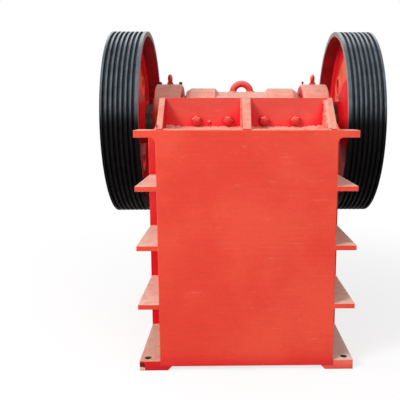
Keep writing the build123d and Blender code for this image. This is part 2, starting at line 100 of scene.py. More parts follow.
def addNode(tree, kind, inputs=None, **settings):
    node = tree.nodes.new(kind)
    for key, value in settings.items():
        setattr(node, key, value)
    for key, value in (inputs or {}).items():
        setSocket(tree, node.inputs[key], value)
    return node


def mixColors(tree, amount, first, second, mode="MIX"):
    node = addNode(tree, "ShaderNodeMix", data_type="RGBA", blend_type=mode)
    for place, value in ((0, amount), (6, first), (7, second)):
        setSocket(tree, node.inputs[place], value)
    return node.outputs[2]


def doMath(tree, operation, first, second=0.0):
    return addNode(tree, "ShaderNodeMath", {0: first, 1: second}, operation=operation).outputs[0]


def stretch(tree, value, low, high, bottom=0.0, top=1.0):
    inputs = {"Value": value, "From Min": low, "From Max": high, "To Min": bottom, "To Max": top}
    return addNode(tree, "ShaderNodeMapRange", inputs, interpolation_type="SMOOTHSTEP").outputs["Result"]


def clouds(tree, point, scale, detail=4.0, roughness=0.6):
    inputs = {"Vector": point, "Scale": scale, "Detail": detail, "Roughness": roughness}
    return addNode(tree, "ShaderNodeTexNoise", inputs).outputs["Fac"]


def axisPart(tree, vector, axis):
    return addNode(tree, "ShaderNodeSeparateXYZ", {"Vector": vector}).outputs[axis]


def scaledPoint(tree, point, scale):
    return addNode(tree, "ShaderNodeMapping", {"Vector": point, "Scale": scale}).outputs["Vector"]


def distanceTo(tree, point, spot):
    inputs = {0: point, 1: spot}
    return addNode(tree, "ShaderNodeVectorMath", inputs, operation="DISTANCE").outputs["Value"]


def mixShaders(tree, amount, first, second):
    inputs = {0: amount, 1: first.outputs[0], 2: second.outputs[0]}
    return addNode(tree, "ShaderNodeMixShader", inputs)


def seenRays(tree):
    path = addNode(tree, "ShaderNodeLightPath")
    seen = doMath(tree, "MAXIMUM", path.outputs["Is Camera Ray"], path.outputs["Is Glossy Ray"])
    return doMath(tree, "MAXIMUM", seen, path.outputs["Is Transmission Ray"])


def setUpCamera(look):
    camera = bpy.data.objects.new("camera", bpy.data.cameras.new("camera"))
    bpy.context.scene.collection.objects.link(camera)
    turn = Matrix.Rotation(math.radians(-look["pan"]), 4, "Z")
    tilt = Matrix.Rotation(math.radians(90 - look["tilt"]), 4, "X")
    roll = Matrix.Rotation(math.radians(look["roll"]), 4, "Z")
    camera.matrix_world = Matrix.Translation(look["place"]) @ turn @ tilt @ roll
    camera.data.sensor_width = look["sensor"]
    camera.data.lens = look["lens"]
    camera.data.shift_x = look["shift"]
    camera.data.clip_end = look["reach"]
    bpy.context.scene.camera = camera


def setUpLight(look):
    for name, lamp in look["lamps"].items():
        light = bpy.data.lights.new(name, "AREA")
        light.shape = "DISK"
        light.size = lamp["size"]
        light.energy = lamp["power"]
        holder = bpy.data.objects.new(name, light)
        bpy.context.scene.collection.objects.link(holder)
        holder.location = lamp["place"]
        away = Vector(lamp["place"]) - Vector(lamp["aim"])
        holder.rotation_euler = away.to_track_quat("Z", "Y").to_euler()
    world = bpy.data.worlds.new("studio")
    world.use_nodes = True
    bpy.context.scene.world = world
    tree = world.node_tree
    tree.nodes.clear()
    direction = addNode(tree, "ShaderNodeTexCoord").outputs["Generated"]
    sky = stretch(tree, axisPart(tree, direction, "Z"), 0.0, 1.0, look["skyRim"], look["skyTop"])
    lit = addNode(tree, "ShaderNodeBackground", {"Color": (1, 1, 1, 1), "Strength": sky})
    white = addNode(tree, "ShaderNodeBackground", {"Color": (1, 1, 1, 1), "Strength": 1.0})
    mixed = mixShaders(tree, seenRays(tree), lit, white)
    addNode(tree, "ShaderNodeOutputWorld", {"Surface": mixed.outputs[0]})
    bpy.context.scene.view_settings.view_transform = "Standard"


def layFloor(look):
    bpy.ops.mesh.primitive_plane_add(size=look["floorSize"], location=(0, 0, -look["floorDrop"]))
    floor = bpy.context.active_object
    floor.name = "studio_floor"
    material = bpy.data.materials.new("pale floor")
    material.use_nodes = True
    tree = material.node_tree
    tree.nodes.clear()
    point = addNode(tree, "ShaderNodeTexCoord").outputs["Object"]
    away = addNode(tree, "ShaderNodeVectorMath", {0: point}, operation="LENGTH").outputs["Value"]
    white = stretch(tree, away, look["whiteFrom"], look["whiteAt"], 1 - look["shadowShare"], 1.0)
    shaded = addNode(tree, "ShaderNodeBsdfDiffuse", {"Color": (1, 1, 1, 1)})
    plain = addNode(tree, "ShaderNodeEmission", {"Color": (1, 1, 1, 1), "Strength": 1.0})
    shown = mixShaders(tree, white, shaded, plain)
    bounce = look["floorBounce"]
    grey = addNode(tree, "ShaderNodeBsdfDiffuse", {"Color": (bounce, bounce, bounce, 1)})
    mixed = mixShaders(tree, seenRays(tree), grey, shown)
    addNode(tree, "ShaderNodeOutputMaterial", {"Surface": mixed.outputs[0]})
    floor.data.materials.append(material)
    floor.select_set(False)


setUpCamera(cameraLook)
setUpLight(lightLook)
layFloor(lightLook)
print("camera, lamps and floor set")


# Finishes

plainPaint = {
    # The nook colour is painted shade in corners, recesses and grooves.
    "light": (232, 78, 57), "deep": (224, 64, 47), "nookShade": (214, 14, 30), "nookShadeShare": 0.95,
    # The dust colours are dust together with a painted sheen on faces that look up.
    "dustAndSheen": (214, 157, 137), "topDustAndSheen": (242, 220, 200), "dustAndSheenShare": 0.92,
    # The edge colour is edge wear together with a painted highlight on the rounded edges.
    "edge": (246, 146, 124), "edgeShare": 0.6, "scuffs": 0.12, "nookShadeReach": 0.22, "patchScale": 1.7,
    "grain": 0.05, "bump": 0.0014, "pitScale": 24.0, "roundness": 0.006, "gloss": 0.5, "shine": 0.22,
}

paintLooks = {
    "framePaint": plainPaint,
    "panelPaint": dict(
        plainPaint, light=(216, 78, 64), deep=(208, 64, 54), nookShade=(230, 2, 36), nookShadeReach=0.12,
    ),
    # A deeper copy of the frame paint: painted shade on the side walls, the uprights in the bays between
    # the ribs, and the left corner bead.
    "shadedSidePaint": dict(
        # below the first height the deep nook colour is painted on as shade, fading out by the second
        plainPaint, light=(230, 60, 56), deep=(218, 42, 42), nookShade=(212, 6, 24), shadeBelow=(0.7, 0.95),
    ),
    "footPaint": dict(
        plainPaint, light=(228, 48, 42), deep=(212, 30, 34), nookShade=(200, 14, 26), topDustAndSheen=(210, 190, 164),
        edge=(240, 160, 140), edgeShare=0.7, patchScale=7.0, grain=0.1, bump=0.003, roundness=0.012,
        marks=(   # place, reach and colour of a dark spot and a pale spot at the front corner
            ((-0.69, -1.14, 0.036), 0.022, (96, 14, 22)),
            ((-0.694, -1.14, 0.004), 0.026, (236, 172, 150)),
        ),
    ),
    "dustyFootPaint": dict(
        plainPaint, light=(252, 146, 122), deep=(244, 118, 98), nookShade=(222, 66, 58), topDustAndSheen=(222, 210, 196),
        edge=(240, 160, 140), edgeShare=0.7, patchScale=7.0, grain=0.1, bump=0.003, roundness=0.012,
    ),
    "nutPaint": dict(plainPaint, edge=(252, 168, 138), edgeShare=0.95, roundness=0.005, nookShade=(196, 14, 30)),
    "weldPaint": dict(
        plainPaint, light=(238, 138, 114), deep=(228, 84, 68), nookShade=(206, 30, 34), nookShadeShare=0.45,
        topDustAndSheen=(226, 190, 168), patchScale=30.0, grain=0.1, bump=0.003, pitScale=90.0,
        roundness=0.003, shine=0.35,
    ),
    "heavyWeldPaint": dict(
        plainPaint, light=(240, 160, 138), deep=(232, 112, 92), nookShade=(214, 62, 58), nookShadeShare=0.4,
        topDustAndSheen=(230, 188, 166), patchScale=24.0, grain=0.1, bump=0.004, pitScale=70.0,
        roundness=0.003, shine=0.35,
    ),
    "castingPaint": dict(
        plainPaint, light=(232, 84, 68), deep=(220, 56, 48), nookShade=(190, 20, 30), nookShadeShare=0.85,
        dustAndSheen=(230, 168, 150), topDustAndSheen=(226, 186, 168), edgeShare=0.35, patchScale=3.1, grain=0.08,
        bump=0.003, pitScale=34.0, roundness=0.009,
    ),
    "wheelPaint": dict(
        plainPaint, light=(254, 128, 98), deep=(244, 92, 72), nookShade=(190, 16, 28), nookShadeShare=0.35,
        litBandRadii=(0.355, 0.385, 0.55, 0.62), bandShade=(234, 34, 42),   # radii of a painted lit band round the shaft, and the colour of the painted shade beyond it
        dustAndSheenShare=0.0, edge=(255, 150, 124), scuffs=0.15, patchScale=2.6, grain=0.07, bump=0.002,
        roundness=0.008, gloss=0.55, shine=0.12,
    ),
    "ringPaint": dict(
        plainPaint, light=(218, 84, 74), deep=(208, 58, 52), nookShade=(190, 20, 30), dustAndSheen=(206, 134, 124),
        topDustAndSheen=(188, 126, 120), bump=0.003, pitScale=34.0, roundness=0.009,
    ),
    # A deeper copy of the wheel paint: painted shade on the walls of the web's holes.
    "shadedSleevePaint": dict(
        plainPaint, light=(236, 44, 46), deep=(212, 28, 34), nookShade=(160, 14, 26), nookShadeShare=0.4,
        dustAndSheenShare=0.0, edgeShare=0.2, scuffs=0.1, patchScale=9.0, grain=0.1, bump=0.002,
        roundness=0.003, shine=0.3,
    ),
    # A dark copy of the wheel paint: painted shade inside the rim's bore and on the walls of the web's
    # holes.
    "shadedBorePaint": dict(
        plainPaint, light=(188, 26, 38), deep=(140, 16, 27), nookShade=(92, 9, 18), nookShadeShare=0.6, dustAndSheenShare=0.0,
        edgeShare=0.2, scuffs=0.1, patchScale=4.0, grain=0.12, bump=0.002, roundness=0.008,
        gloss=0.42, shine=0.4,
    ),
}

metalLooks = {
    "wheelIron": {
        "light": (98, 107, 114), "deep": (80, 88, 94), "edge": (140, 146, 150), "edgeShare": 0.3,
        # low is painted shade under the rim, top a painted reflection of the sky on faces that look up
        "low": (14, 13, 15), "top": (180, 186, 191), "nookShade": (9, 10, 12), "nookShadeShare": 0.82,
        "nookShadeReach": 0.03, "face": (160, 152, 148), "faceHighlightFrom": (1.4, 1.7),   # heights in which the painted highlight fades in
        "metal": 0.0, "gloss": 0.6, "shine": 0.06, "scale": 9.0, "bump": 0.0006, "roundness": 0.002,
    },
    "turnedSteel": {
        "light": (118, 108, 98), "deep": (72, 62, 55), "edge": (170, 160, 150), "edgeShare": 0.5,
        "metal": 0.5, "gloss": 0.45, "shine": 0.4, "scale": 16.0, "bump": 0.0005, "roundness": 0.003,
    },
    "manganeseSteel": {
        "light": (96, 88, 82), "deep": (58, 48, 42), "edge": (150, 142, 132), "edgeShare": 0.6,
        "metal": 0.5, "gloss": 0.58, "shine": 0.4, "scale": 7.0, "bump": 0.003, "roundness": 0.005,
    },
    "darkSteel": {
        "light": (74, 70, 68), "deep": (46, 42, 40), "edge": (120, 112, 106), "edgeShare": 0.5,
        "metal": 0.5, "gloss": 0.5, "shine": 0.4, "scale": 20.0, "bump": 0.0012, "roundness": 0.003,
    },
    # A dark brown finish for the walls of the anchor holes: painted shade in the holes.
    "paintedHoleShade": {
        "light": (104, 78, 66), "deep": (66, 48, 42), "edge": (120, 84, 72), "edgeShare": 0.3,
        "metal": 0.0, "gloss": 0.8, "shine": 0.2, "scale": 30.0, "bump": 0.001, "roundness": 0.002,
    },
    "darkScrew": {
        "light": (110, 26, 34), "deep": (66, 18, 26), "edge": (150, 60, 60), "edgeShare": 0.5,
        "metal": 0.1, "gloss": 0.5, "shine": 0.3, "scale": 40.0, "bump": 0.0012, "roundness": 0.002,
    },
}


# Sizes and limits of the patterns that all paints share; four numbers are limits and then strengths
paintPattern = {
    "strokes": (1.3, 1.3, 30.0), "strokeScale": 2.0,   # brush strokes run level
    "patches": (0.36, 0.64),
    "grainScale": 55.0, "mottle": (0.6, 1.4),
    "wearScale": 11.0, "wear": (0.3, 0.6, 0.3, 1.0),
    "streaks": (9.0, 9.0, 40.0), "scuffs": (0.62, 0.74),
    # occlusion limits of the painted nook shade, and the share of painted shade low down
    "nookShadeLimits": (0.9, 0.45), "shelter": 0.95,
    "markScale": 60.0, "markEdge": (1.5, 1.3),         # in reaches of the mark
    "brushRelief": 0.5, "glossGrain": (0.3, 0.7), "glossChange": (-0.06, 0.1),
    "dustAndSheen": (0.2, 0.7), "topDustAndSheen": (0.85, 0.99),       # how far a face looks up before dust and a painted sheen show
    "brushedDustAndSheen": (0.25, 0.6, 0.75, 1.0), "thinScale": 16.0, "thinDustAndSheen": (0.38, 0.56, 0.74, 1.0),
}

metalPattern = {
    "patches": (0.35, 0.65), "low": (-0.02, 0.24), "top": (0.72, 0.97), "face": (0.97, 0.99),
    "wearScale": 18.0, "wear": (0.35, 0.6, 0.2, 1.0), "nookShadeLimits": (0.85, 0.3), "pitScale": 90.0,
    "glossChange": (0.08, -0.05),
}

edgeMatch = (0.985, 0.86)   # how far rounded and flat normals agree off an edge and on it


def startFinish(name, roundness):
    material = bpy.data.materials.new(name)
    material.use_nodes = True
    tree = material.node_tree
    coords = addNode(tree, "ShaderNodeTexCoord")
    rounded = addNode(tree, "ShaderNodeBevel", {"Radius": roundness}, samples=6).outputs["Normal"]
    flat = addNode(tree, "ShaderNodeNewGeometry").outputs["Normal"]
    match = addNode(tree, "ShaderNodeVectorMath", {0: rounded, 1: flat}, operation="DOT_PRODUCT")
    edge = stretch(tree, match.outputs["Value"], *edgeMatch)
    return material, tree, coords.outputs["Object"], coords.outputs["Normal"], rounded, edge


def closeFinish(tree, look, color, roughness, bumpHeight, rounded):
    inputs = {"Distance": look["bump"], "Height": bumpHeight, "Normal": rounded}
    bump = addNode(tree, "ShaderNodeBump", inputs)
    shader = tree.nodes["Principled BSDF"]
    shader.inputs["Specular IOR Level"].default_value = look["shine"]
    tree.links.new(color, shader.inputs["Base Color"])
    tree.links.new(roughness, shader.inputs["Roughness"])
    tree.links.new(bump.outputs["Normal"], shader.inputs["Normal"])
    return shader


# Painted shade: the colour turns to the deep nook colour where ambient occlusion finds faces close by, in
# corners, recesses and grooves.
def paintNookShade(tree, look, color, limits):
    nookShade = addNode(tree, "ShaderNodeAmbientOcclusion", {"Distance": look["nookShadeReach"]}, samples=8)
    share = stretch(tree, nookShade.outputs["AO"], *limits, 0.0, look["nookShadeShare"])
    return mixColors(tree, share, color, tint(*look["nookShade"]))


def paintLitBand(tree, look, color, point):   # painted light between two rings round the shaft, painted shade inside and outside them
    hub, foot, shoulder, rim = look["litBandRadii"]
    ring = distanceTo(tree, scaledPoint(tree, point, (0.0, 1.0, 1.0)), (0.0, shaftY, shaftZ))
    inside = stretch(tree, ring, hub, foot, 1.0, 0.0)
    outside = stretch(tree, ring, shoulder, rim)
    return mixColors(tree, doMath(tree, "MAXIMUM", inside, outside), color, tint(*look["bandShade"]))


# Dust together with a painted sheen of the sky on faces that look up, paler still on faces that look
# straight up.
def layDustAndSheen(tree, look, color, point, normal, brush):
    pattern, upward = paintPattern, axisPart(tree, normal, "Z")
    dustAndSheenMask = stretch(tree, upward, *pattern["dustAndSheen"], 0.0, look["dustAndSheenShare"])
    dustAndSheenMask = doMath(tree, "MULTIPLY", dustAndSheenMask, stretch(tree, brush, *pattern["brushedDustAndSheen"]))
    thin = clouds(tree, point, pattern["thinScale"], detail=7.0, roughness=0.7)
    thin = stretch(tree, thin, *pattern["thinDustAndSheen"])
    dustAndSheenMask = doMath(tree, "MULTIPLY", dustAndSheenMask, thin)
    topDustAndSheen = stretch(tree, upward, *pattern["topDustAndSheen"])
    dustAndSheen = mixColors(tree, topDustAndSheen, tint(*look["dustAndSheen"]), tint(*look["topDustAndSheen"]))
    return mixColors(tree, dustAndSheenMask, color, dustAndSheen)


def paintFinish(name, look):
    material, tree, point, normal, rounded, edge = startFinish(name, look["roundness"])
    pattern = paintPattern
    brush = clouds(tree, scaledPoint(tree, point, pattern["strokes"]), pattern["strokeScale"], detail=5.0)
    patch = stretch(tree, clouds(tree, point, look["patchScale"], detail=5.0), *pattern["patches"])
    color = mixColors(tree, patch, tint(*look["deep"]), tint(*look["light"]))
    grain = clouds(tree, point, pattern["grainScale"], detail=3.0)
    mottle = doMath(tree, "ADD", grain, brush)
    shade = stretch(tree, mottle, *pattern["mottle"], 1 - look["grain"], 1 + look["grain"])
    color = mixColors(tree, 1.0, color, shade, "MULTIPLY")
    # edge wear together with a painted highlight on the rounded edges
    wornAndLitEdge = stretch(tree, clouds(tree, point, pattern["wearScale"], detail=6.0), *pattern["wear"])
    wornAndLitEdge = doMath(tree, "MULTIPLY", doMath(tree, "MULTIPLY", edge, wornAndLitEdge), look["edgeShare"])
    color = mixColors(tree, wornAndLitEdge, color, tint(*look["edge"]))
    streaks = clouds(tree, scaledPoint(tree, point, pattern["streaks"]), 1.0, detail=3.0)
    scuffed = stretch(tree, streaks, *pattern["scuffs"], 0.0, look["scuffs"])
    color = mixColors(tree, scuffed, color, tint(*look["edge"]))
    if "shadeBelow" in look:   # painted shade: low down the paint takes the deep nook colour
        low, high = look["shadeBelow"]
        sheltered = stretch(tree, axisPart(tree, point, "Z"), low, high, pattern["shelter"], 0.0)
        color = mixColors(tree, sheltered, color, tint(*look["nookShade"]))
    # painted shade in corners and recesses
    color = paintNookShade(tree, look, color, pattern["nookShadeLimits"])
    # painted light and shade on the wheel webs
    if "litBandRadii" in look:
        color = paintLitBand(tree, look, color, point)
    for spot, reach, shade in look.get("marks", ()):
        uneven = doMath(tree, "MULTIPLY", clouds(tree, point, pattern["markScale"]), reach)
        ragged = doMath(tree, "ADD", distanceTo(tree, point, spot), uneven)
        marked = stretch(tree, ragged, *[reach * share for share in pattern["markEdge"]])
        color = mixColors(tree, marked, color, tint(*shade))
    # dust and painted sheen on upward faces
    color = layDustAndSheen(tree, look, color, point, normal, brush)
    pits = clouds(tree, point, look["pitScale"], detail=6.0)
    height = doMath(tree, "ADD", pits, doMath(tree, "MULTIPLY", brush, pattern["brushRelief"]))
    glossEnds = [look["gloss"] + change for change in pattern["glossChange"]]
    roughness = stretch(tree, grain, *pattern["glossGrain"], *glossEnds)
    closeFinish(tree, look, color, roughness, height, rounded)
    return material


def metalFinish(name, look):
    material, tree, point, normal, rounded, edge = startFinish(name, look["roundness"])
    pattern = metalPattern
    patch = stretch(tree, clouds(tree, point, look["scale"], detail=6.0), *pattern["patches"])
    color = mixColors(tree, patch, tint(*look["deep"]), tint(*look["light"]))
    if "low" in look:   # painted shade on faces that look down, painted reflection of the sky on faces that look up
        upward = axisPart(tree, normal, "Z")
        color = mixColors(tree, stretch(tree, upward, *pattern["low"]), tint(*look["low"]), color)
        color = mixColors(tree, stretch(tree, upward, *pattern["top"]), color, tint(*look["top"]))
    # painted highlight on the flat side faces of the rim, stronger higher up
    if "face" in look:
        flat = stretch(tree, doMath(tree, "ABSOLUTE", axisPart(tree, normal, "X")), *pattern["face"])
        height = stretch(tree, axisPart(tree, point, "Z"), *look["faceHighlightFrom"])
        color = mixColors(tree, doMath(tree, "MULTIPLY", flat, height), color, tint(*look["face"]))
    # edge wear together with a painted highlight on the rounded edges
    wornAndLitEdge = stretch(tree, clouds(tree, point, pattern["wearScale"], detail=6.0), *pattern["wear"])
    wornAndLitEdge = doMath(tree, "MULTIPLY", doMath(tree, "MULTIPLY", edge, wornAndLitEdge), look["edgeShare"])
    color = mixColors(tree, wornAndLitEdge, color, tint(*look["edge"]))
    # painted shade in the grooves and hollows
    if "nookShade" in look:
        color = paintNookShade(tree, look, color, pattern["nookShadeLimits"])
    glossEnds = [look["gloss"] + change for change in pattern["glossChange"]]
    roughness = stretch(tree, patch, 0.0, 1.0, *glossEnds)
    pits = clouds(tree, point, pattern["pitScale"])
    shader = closeFinish(tree, look, color, roughness, pits, rounded)
    shader.inputs["Metallic"].default_value = look["metal"]
    return material


finishes = {name: paintFinish(name, look) for name, look in paintLooks.items()}
finishes.update({name: metalFinish(name, look) for name, look in metalLooks.items()})
print("finishes made:", ", ".join(finishes))

castings = ("bearing_housing", "bearing_cap", "bearing_covers", "cap_eye_bolt", "swing_jaw", "jaw_wedge")
nodeFinishes = {   # by the start of a node's name
    "lifting_ring": "ringPaint", "wheel_rim": "wheelIron", "wheel_web": "wheelPaint",
    "wheel_end_plates": "wheelPaint", "eccentric_shaft": "turnedSteel", "toggle": "darkSteel",
    "tension": "darkSteel", "fixed_jaw_plate": "manganeseSteel", "moving_jaw_plate": "manganeseSteel",
    "cheek_plate": "manganeseSteel", "base_flange_left": "footPaint", "base_flange_right": "dustyFootPaint",
    "backing_wall": "panelPaint", "side_wall": "shadedSidePaint", "front_uprights": "shadedSidePaint",
    "bearing_uprights": "shadedSidePaint",
}
nodeFinishes.update({name: "castingPaint" for name in castings})

innerLook = {
    "webHoles": (0.4, 0.6),   # the walls of the web's holes lie between these radii
    "boreDepth": 0.025,       # the rim's bore lies this far inside its outline, or more
    "holeMargin": 0.01,       # the anchor holes lie this far inside the flange's outline, or more
    "slant": 0.1,             # how far a hole's wall may lean
    "boreSlant": 0.5,
}


def paintInside(piece, finish, isInside):
    piece.data.materials.append(finishes[finish])
    for face in piece.data.polygons:
        if isInside(face):
            face.material_index = 1


def shaftDistance(face):
    return math.hypot(face.center.y - shaftY, face.center.z - shaftZ)


def isWebHole(face):
    nearest, farthest = innerLook["webHoles"]
    return nearest < shaftDistance(face) < farthest and abs(face.normal.x) < innerLook["slant"]


def isRimBore(face):
    bore = (rimHigh.z - rimLow.z) / 2 - innerLook["boreDepth"]
    return shaftDistance(face) < bore and abs(face.normal.x) < innerLook["boreSlant"]


def isAnchorHole(face):
    across, along = abs(face.center.x), face.center.y
    ways = (across - flangeLow.x, flangeHigh.x - across, along - flangeLow.y, flangeHigh.y - along)
    return min(ways) > innerLook["holeMargin"] and abs(face.normal.z) < innerLook["slant"]


insides = {
    # painted shade in the web's holes and the rim's bore
    "wheel_web": ("shadedBorePaint", isWebHole),
    "wheel_rim": ("shadedBorePaint", isRimBore),
    # painted shade in the anchor holes
    "base_flange": ("paintedHoleShade", isAnchorHole),
}


def finishNodes():
    for name, node in nodes.items():
        chosen = [finish for start, finish in nodeFinishes.items() if name.startswith(start)]
        node.data.materials.clear()
        node.data.materials.append(finishes[chosen[0] if chosen else "framePaint"])
        for start, (finish, isInside) in insides.items():
            if name.startswith(start):
                paintInside(node, finish, isInside)


finishNodes()
print("nodes painted")


# Ways of making pieces

def closeShell():   # merges, closes and turns outwards the mesh that is being edited
    bpy.ops.mesh.select_mode(type="VERT")
    bpy.ops.mesh.select_all(action="SELECT")
    bpy.ops.mesh.remove_doubles(threshold=0.00002)
    bpy.ops.mesh.fill_holes(sides=0)
    bpy.ops.mesh.select_all(action="SELECT")
    bpy.ops.mesh.normals_make_consistent(inside=False)
    bpy.ops.object.mode_set(mode="OBJECT")


def turnPiece(profile, sides, hollow=False):   # profile points are radius and height, from the foot up
    radius, height = profile[0]
    bpy.ops.mesh.primitive_circle_add(
        vertices=sides, radius=radius, fill_type="NOTHING" if hollow else "NGON", location=(0, 0, height)
    )
    piece = bpy.context.active_object
    bpy.ops.object.transform_apply(location=True)
    bpy.ops.object.mode_set(mode="EDIT")
    bpy.ops.mesh.select_all(action="SELECT")
    for nextRadius, nextHeight in profile[1:] + (profile[:1] if hollow else []):
        bpy.ops.mesh.extrude_region_move(TRANSFORM_OT_translate={"value": (0, 0, nextHeight - height)})
        grow = nextRadius / radius
        bpy.ops.transform.resize(value=(grow, grow, 1), center_override=(0, 0, nextHeight))
        radius, height = nextRadius, nextHeight
    closeShell()
    return piece


def placePiece(piece, at, toward=(0, 0, 1), spin=0.0):
    turn = Vector((0, 0, 1)).rotation_difference(Vector(toward)).to_matrix().to_4x4()
    piece.matrix_world = Matrix.Translation(at) @ turn @ Matrix.Rotation(math.radians(spin), 4, "Z")
    bpy.ops.object.select_all(action="DESELECT")
    piece.select_set(True)
    bpy.context.view_layer.objects.active = piece
    bpy.ops.object.transform_apply(location=True, rotation=True, scale=True)
    return piece


def copyPiece(piece):
    twin = piece.copy()
    twin.data = piece.data.copy()
    bpy.context.scene.collection.objects.link(twin)
    return twin


def joinPieces(pieces):
    bpy.ops.object.select_all(action="DESELECT")
    for piece in pieces:
        piece.select_set(True)
    bpy.context.view_layer.objects.active = pieces[0]
    if len(pieces) > 1:
        bpy.ops.object.join()
    return pieces[0]


def placeCopies(model, places):   # places are spot, direction and turn; the model itself is used up
    copies = [placePiece(copyPiece(model), *place) for place in places]
    bpy.data.objects.remove(model)
    return joinPieces(copies)


def finishPiece(piece, name, body, finish, angle=35, standsFor=()):
    piece.name = piece.data.name = name
    bpy.ops.object.select_all(action="DESELECT")
    piece.select_set(True)
    bpy.context.view_layer.objects.active = piece
    bpy.ops.object.shade_smooth_by_angle(angle=math.radians(angle))
    piece.data.materials.clear()
    piece.data.materials.append(finishes[finish])
    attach(piece, body)
    for node in standsFor:
        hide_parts(node)
    piece.select_set(False)


# Shares of a bolt's own sizes, and the degrees from one bolt to the next
boltShape = {
    "washerSides": 24, "studSides": 16, "chamfer": 0.09, "seat": 0.92, "crown": 0.85,
    "root": 0.9, "lastTurn": 0.96, "tip": 0.8, "turnStep": 17,
}


def boltPiece(look):   # washer, nut and threaded end, as separate turned shells on one axis
    shape = boltShape
    base, high = look["washerThick"], look["washerThick"] + look["nutThick"]
    washer = turnPiece([(look["washer"], 0), (look["washer"], base)], shape["washerSides"])
    nut, chamfer = look["nut"], look["nutThick"] * shape["chamfer"]
    nutLine = [(nut * shape["seat"], base), (nut, base + chamfer)]
    nutLine += [(nut, high - chamfer * 2), (nut * shape["crown"], high)]
    shells = [washer, turnPiece(nutLine, 6)]
    if look["stud"]:
        stud, height, pitch = look["stud"], high, look["pitch"]
        root = stud * shape["root"]
        thread = [(root, base)]
        while height + pitch < look["reach"]:
            thread += [(root, height), (stud, height + pitch * 0.5)]
            height += pitch
        thread += [(stud * shape["lastTurn"], height), (stud * shape["tip"], look["reach"])]
        shells.append(turnPiece(thread, shape["studSides"]))
    return joinPieces(shells)


# Welds

weldLook = {
    "leg": 0.009,
    "thinLeg": 0.006,
    "pitch": 0.013,   # length of one ripple
    "swell": 1.17,
    "dotSwell": 1.45,
    "sides": 8,
    "rough": 0.004,
    "lumps": 0.02,
    "toe": 0.02,      # the beads on the ledge start this far behind the plate's face
    "plateRow": 1.6,  # legs from the plate's face to the bead along it
    "short": 0.006,   # the seams on the ribs stop this far short of the ribs' edge
    "backGap": 0.01,
    "topGap": 0.04,
}


def weldBead(start, end, leg, swell=weldLook["swell"]):
    start, run = Vector(start), Vector(end) - Vector(start)
    count = max(2, round(run.length / (weldLook["pitch"] * leg / weldLook["leg"])))
    step = run.length / count
    bpy.ops.mesh.primitive_circle_add(vertices=weldLook["sides"], radius=leg, fill_type="NOTHING")
    bead = bpy.context.active_object
    bpy.ops.object.mode_set(mode="EDIT")
    bpy.ops.mesh.select_all(action="SELECT")
    for share, grow in ((0.5, swell), (1.0, 1 / swell)):
        bpy.ops.mesh.extrude_region_move(TRANSFORM_OT_translate={"value": (0, 0, step / 2)})
        bpy.ops.transform.resize(value=(grow, grow, 1), center_override=(0, 0, step * share))
    bpy.ops.object.mode_set(mode="OBJECT")
    row = bead.modifiers.new("row", "ARRAY")
    row.count = count
    row.use_relative_offset = False
    row.use_constant_offset = True
    row.constant_offset_displace = (0, 0, step)
    row.use_merge_vertices = True
    row.merge_threshold = step / 50
    bpy.ops.object.modifier_apply(modifier="row")
    bpy.ops.object.mode_set(mode="EDIT")
    closeShell()
    return placePiece(bead, start, run)


def roughen(piece, scale, strength):
    lumps = bpy.data.textures.new("lumps", "CLOUDS")
    lumps.noise_scale = scale
    rough = piece.modifiers.new("rough", "DISPLACE")
    rough.texture = lumps
    rough.strength = strength
    bpy.ops.object.modifier_apply(modifier="rough")


def weldSeams(name, runs, finish="weldPaint"):
    seams = joinPieces([weldBead(*run) for run in runs])
    roughen(seams, weldLook["lumps"], weldLook["rough"])
    finishPiece(seams, name, "frame", finish, 60)


def frontWelds():
    inner, panel, ledge = wallLow.x, panelLow.y, ledgeTop
    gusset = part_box("centre_gusset")[1].x
    leg, runs = weldLook["leg"], []
    top = panelHigh.z - weldLook["thinLeg"]
    toe, front = plateLow.y + weldLook["toe"], plateLow.y + leg * weldLook["plateRow"]
    for side in (-1, 1):
        wall, rib = side * inner, side * gusset
        runs.append(((wall, toe, ledge), (wall, panel, ledge), leg))
        runs.append(((rib, toe, ledge), (rib, panel, ledge), leg))
    runs.append(((-inner, front, ledge), (inner, front, ledge), leg))
    runs.append(((gusset, panel, ledge), (gusset, panel, top), leg))
    weldSeams("front_welds", runs)
    dotted = ((-gusset, panel, ledge), (-gusset, panel, top), leg, weldLook["dotSwell"])
    weldSeams("gusset_bead", [dotted], "heavyWeldPaint")
    # the bead in the left corner gets the side paint, as painted shade
    weldSeams("corner_bead", [((-inner, panel, ledge), (-inner, panel, top), leg)], "shadedSidePaint")


heavyWeldLook = {
    "leg": 0.022, "footLeg": 0.017, "lumps": 0.022, "rough": 0.018, "swell": 1.12,
    "rows": (0.0, 0.036, 0.072, 0.108),   # how far each upright bead stands in front of the panel
    "heap": ((0.03, 0.03), (0.026, 0.06), (0.021, 0.1)),   # leg and length, in each lower corner
    "uprightDrop": 0.6, "slopeDrop": 1.2,   # legs from the panel's top down to the beads' ends
}


